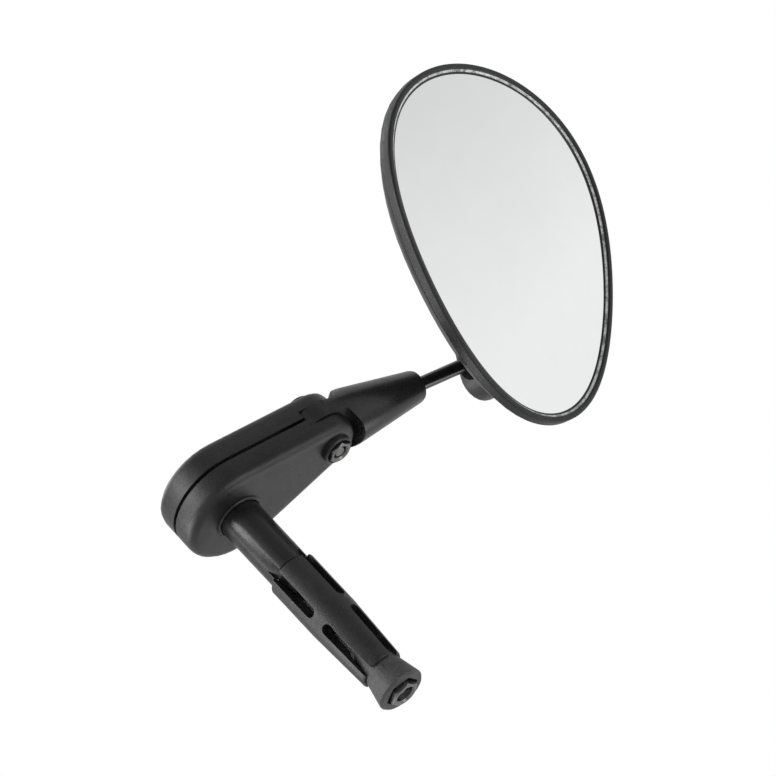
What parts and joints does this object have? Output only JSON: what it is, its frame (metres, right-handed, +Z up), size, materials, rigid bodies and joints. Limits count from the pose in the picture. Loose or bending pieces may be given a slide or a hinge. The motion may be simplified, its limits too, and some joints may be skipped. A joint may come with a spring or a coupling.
{
  "type": "bar-end bicycle mirror",
  "caption": "Bar-end bicycle mirror: an expanding plug, a teardrop arm that turns on it, a swinging knuckle with a straight rod, and an egg-shaped convex mirror on a ball joint.",
  "frame": {"origin": "on the plug's axis, in the plane of the raised collar whose face stops against the end of the handlebar", "axes": "+X along the plug into the bar, +Z up along the arm from the plug to its pivot, -Y toward the rider; the mirror faces -Y, inboard and up"},
  "size_m": [0.1578, 0.0778, 0.196],
  "materials": {
    "satin_black_plastic": "satin",
    "gloss_black_plastic": "semi-gloss",
    "matt_black_plastic": "matt",
    "black_coated_steel": "gloss",
    "zinc_steel": "zinc plated",
    "white_nylon": "matt",
    "silvered_glass": "mirror",
    "foam_rubber": "matt"
  },
  "bodies": {
    "plug": {"plug_tube": "gloss_black_plastic", "expander_sleeve": "satin_black_plastic"},
    "bolt": {"expander_bolt": "zinc_steel"},
    "wedge": {"expander_wedge": "matt_black_plastic", "expander_nut": "zinc_steel"},
    "arm": {"arm_shell_inner": "satin_black_plastic", "arm_shell_outer": "satin_black_plastic", "expander_washer": "zinc_steel", "pivot_bolt": "zinc_steel", "pivot_nut": "zinc_steel", "friction_washer_inner": "zinc_steel", "friction_washer_outer": "zinc_steel"},
    "knuckle": {"knuckle": "gloss_black_plastic", "mirror_rod": "black_coated_steel"},
    "seat_lower": {"ball_seat_lower": "white_nylon"},
    "seat_upper": {"ball_seat_upper": "white_nylon"},
    "head": {"mirror_housing": "satin_black_plastic", "socket_cap": "satin_black_plastic", "cap_screw_a": "zinc_steel", "cap_screw_b": "zinc_steel", "bezel_ring": "satin_black_plastic", "mirror_glass": "silvered_glass", "glass_seal_ring": "foam_rubber"}
  },
  "joints": [
    {"name": "arm_swing", "type": "hinge", "parent": "plug", "child": "arm", "pos_m": [0, 0, 0], "axis": [1, 0, 0], "continuous": true},
    {"name": "bolt_turn", "type": "hinge", "parent": "plug", "child": "bolt", "pos_m": [0, 0, 0], "axis": [1, 0, 0], "range_deg": [-360, 360]},
    {"name": "wedge_draw", "type": "slide", "parent": "plug", "child": "wedge", "axis": [1, 0, 0], "range_m": [-0.0008, 0.0008]},
    {"name": "knuckle_pivot", "type": "hinge", "parent": "arm", "child": "knuckle", "pos_m": [-0.0095, 0, 0.037], "axis": [1, 0, 0], "range_deg": [-28, 67]},
    {"name": "mirror_turn", "type": "hinge", "parent": "knuckle", "child": "seat_lower", "pos_m": [-0.0095, 0.02449, 0.10577], "axis": [0, 0.3355, 0.9421], "continuous": true},
    {"name": "mirror_nod", "type": "hinge", "parent": "seat_lower", "child": "seat_upper", "pos_m": [-0.0095, 0.02449, 0.10577], "axis": [0, 0.9421, -0.3355], "range_deg": [-12, 12]},
    {"name": "mirror_yaw", "type": "hinge", "parent": "seat_upper", "child": "head", "pos_m": [-0.0095, 0.02449, 0.10577], "axis": [1, 0, 0], "range_deg": [-12, 12]}
  ],
  "couplings": [
    {"joint": "wedge_draw", "follows": "bolt_turn", "m_per_rad": -0.00012732}
  ]
}
